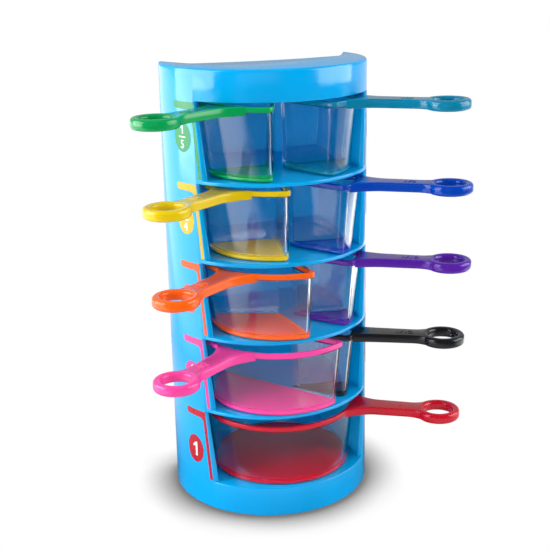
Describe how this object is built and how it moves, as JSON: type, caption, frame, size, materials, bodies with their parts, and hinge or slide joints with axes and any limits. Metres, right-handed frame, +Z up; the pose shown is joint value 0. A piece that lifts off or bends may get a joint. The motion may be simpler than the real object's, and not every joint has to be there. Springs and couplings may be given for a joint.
{
  "type": "measuring cup set",
  "caption": "Measuring cups shaped as slices of a round, with clear bowls and coloured rims and handles, stored in a blue tiered tower with an open front.",
  "frame": {"origin": "centre of the round tower base, on the surface it stands on", "axes": "+Z up the tower, the open front faces -Y, +X to the right when looking into the front"},
  "size_m": [0.2113, 0.1363, 0.2874],
  "materials": {
    "tower_blue": "glossy sky-blue moulded plastic",
    "clear_plastic": "clear, slightly smoky moulded plastic",
    "red_plastic": "glossy red moulded plastic",
    "pink_plastic": "glossy pink moulded plastic",
    "orange_plastic": "glossy orange moulded plastic",
    "yellow_plastic": "glossy yellow moulded plastic",
    "green_plastic": "glossy green moulded plastic",
    "teal_plastic": "glossy teal moulded plastic",
    "blue_plastic": "glossy blue moulded plastic",
    "purple_plastic": "glossy purple moulded plastic",
    "black_plastic": "glossy black moulded plastic"
  },
  "bodies": {
    "tower": {"base_plinth": "tower_blue", "base_cover": "tower_blue", "left_side": "tower_blue", "right_side": "tower_blue", "back_panel": "tower_blue", "shelf_1": "tower_blue", "shelf_2": "tower_blue", "shelf_3": "tower_blue", "shelf_4": "tower_blue", "top_cap": "tower_blue"},
    "one_cup": {"one_cup_bowl": "clear_plastic", "one_cup_floor_disc": "red_plastic", "one_cup_rim_handle": "red_plastic"},
    "half_cup": {"half_cup_bowl": "clear_plastic", "half_cup_floor_disc": "pink_plastic", "half_cup_rim_handle": "pink_plastic"},
    "third_cup": {"third_cup_bowl": "clear_plastic", "third_cup_floor_disc": "orange_plastic", "third_cup_rim_handle": "orange_plastic"},
    "quarter_cup": {"quarter_cup_bowl": "clear_plastic", "quarter_cup_floor_disc": "yellow_plastic", "quarter_cup_rim_handle": "yellow_plastic"},
    "fifth_cup": {"fifth_cup_bowl": "clear_plastic", "fifth_cup_floor_disc": "green_plastic", "fifth_cup_rim_handle": "green_plastic"},
    "sixth_cup": {"sixth_cup_bowl": "clear_plastic", "sixth_cup_floor_disc": "teal_plastic", "sixth_cup_rim_handle": "teal_plastic"},
    "eighth_cup": {"eighth_cup_bowl": "clear_plastic", "eighth_cup_floor_disc": "blue_plastic", "eighth_cup_rim_handle": "blue_plastic"},
    "tenth_cup": {"tenth_cup_bowl": "clear_plastic", "tenth_cup_floor_disc": "purple_plastic", "tenth_cup_rim_handle": "purple_plastic"},
    "twelfth_cup": {"twelfth_cup_bowl": "clear_plastic", "twelfth_cup_floor_disc": "black_plastic", "twelfth_cup_rim_handle": "black_plastic"}
  },
  "joints": [
    {"name": "one_cup_slide", "type": "slide", "parent": "tower", "child": "one_cup", "axis": [0, -1, 0], "range_m": [0, 0.1]},
    {"name": "half_cup_slide", "type": "slide", "parent": "tower", "child": "half_cup", "axis": [0, -1, 0], "range_m": [0, 0.1]},
    {"name": "third_cup_slide", "type": "slide", "parent": "tower", "child": "third_cup", "axis": [0, -1, 0], "range_m": [0, 0.1]},
    {"name": "quarter_cup_slide", "type": "slide", "parent": "tower", "child": "quarter_cup", "axis": [0, -1, 0], "range_m": [0, 0.1]},
    {"name": "fifth_cup_slide", "type": "slide", "parent": "tower", "child": "fifth_cup", "axis": [0, -1, 0], "range_m": [0, 0.1]},
    {"name": "sixth_cup_slide", "type": "slide", "parent": "tower", "child": "sixth_cup", "axis": [0, -1, 0], "range_m": [0, 0.1]},
    {"name": "eighth_cup_slide", "type": "slide", "parent": "tower", "child": "eighth_cup", "axis": [0, -1, 0], "range_m": [0, 0.1]},
    {"name": "tenth_cup_slide", "type": "slide", "parent": "tower", "child": "tenth_cup", "axis": [0, -1, 0], "range_m": [0, 0.1]},
    {"name": "twelfth_cup_slide", "type": "slide", "parent": "tower", "child": "twelfth_cup", "axis": [0, -1, 0], "range_m": [0, 0.1]}
  ],
  "couplings": [
    {"joint": "twelfth_cup_slide", "follows": "half_cup_slide", "ratio": 1},
    {"joint": "tenth_cup_slide", "follows": "third_cup_slide", "ratio": 1}
  ]
}
